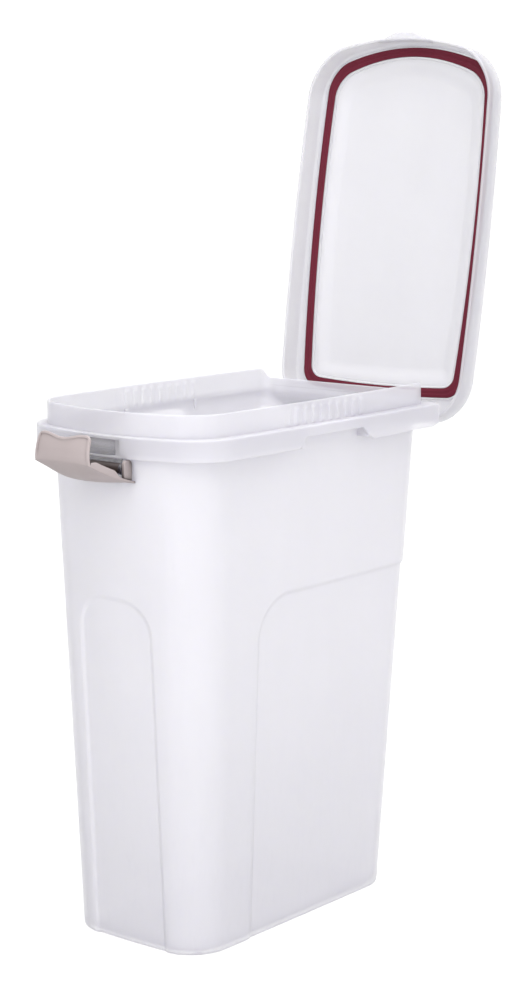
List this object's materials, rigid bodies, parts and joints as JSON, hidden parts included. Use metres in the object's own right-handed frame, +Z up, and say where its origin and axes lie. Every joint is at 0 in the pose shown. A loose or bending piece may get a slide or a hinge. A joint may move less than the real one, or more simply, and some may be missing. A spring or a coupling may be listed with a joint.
{
  "type": "pet food bin",
  "caption": "Tall tapered storage bin for dry pet food, with a hinged lid, a sealing ring under the lid and a swing-down front latch.",
  "frame": {"origin": "middle of the flat base, on the surface it stands on", "axes": "+Z up, front with the latch towards -Y, lid hinges towards +Y, +X to the right"},
  "size_m": [0.2738, 0.6283, 1.0039],
  "materials": {
    "milky_plastic": "translucent milky polypropylene, satin",
    "taupe_plastic": "satin moulded plastic",
    "seal_rubber": "matte soft rubber",
    "pin_plastic": "smooth moulded plastic"
  },
  "bodies": {
    "tub": {"bin_tub": "milky_plastic", "hinge_pin_left": "pin_plastic", "hinge_pin_right": "pin_plastic", "latch_pin_left": "pin_plastic", "latch_pin_right": "pin_plastic"},
    "lid": {"lid": "milky_plastic", "lid_seal": "seal_rubber"},
    "latch": {"latch": "taupe_plastic"}
  },
  "joints": [
    {"name": "lid_hinge", "type": "hinge", "parent": "tub", "child": "lid", "pos_m": [0, 0.22, 0.554], "axis": [1, 0, 0], "range_deg": [0, 98.84]},
    {"name": "latch_pivot", "type": "hinge", "parent": "tub", "child": "latch", "pos_m": [0, -0.23, 0.541], "axis": [1, 0, 0], "range_deg": [-40, 0]}
  ]
}
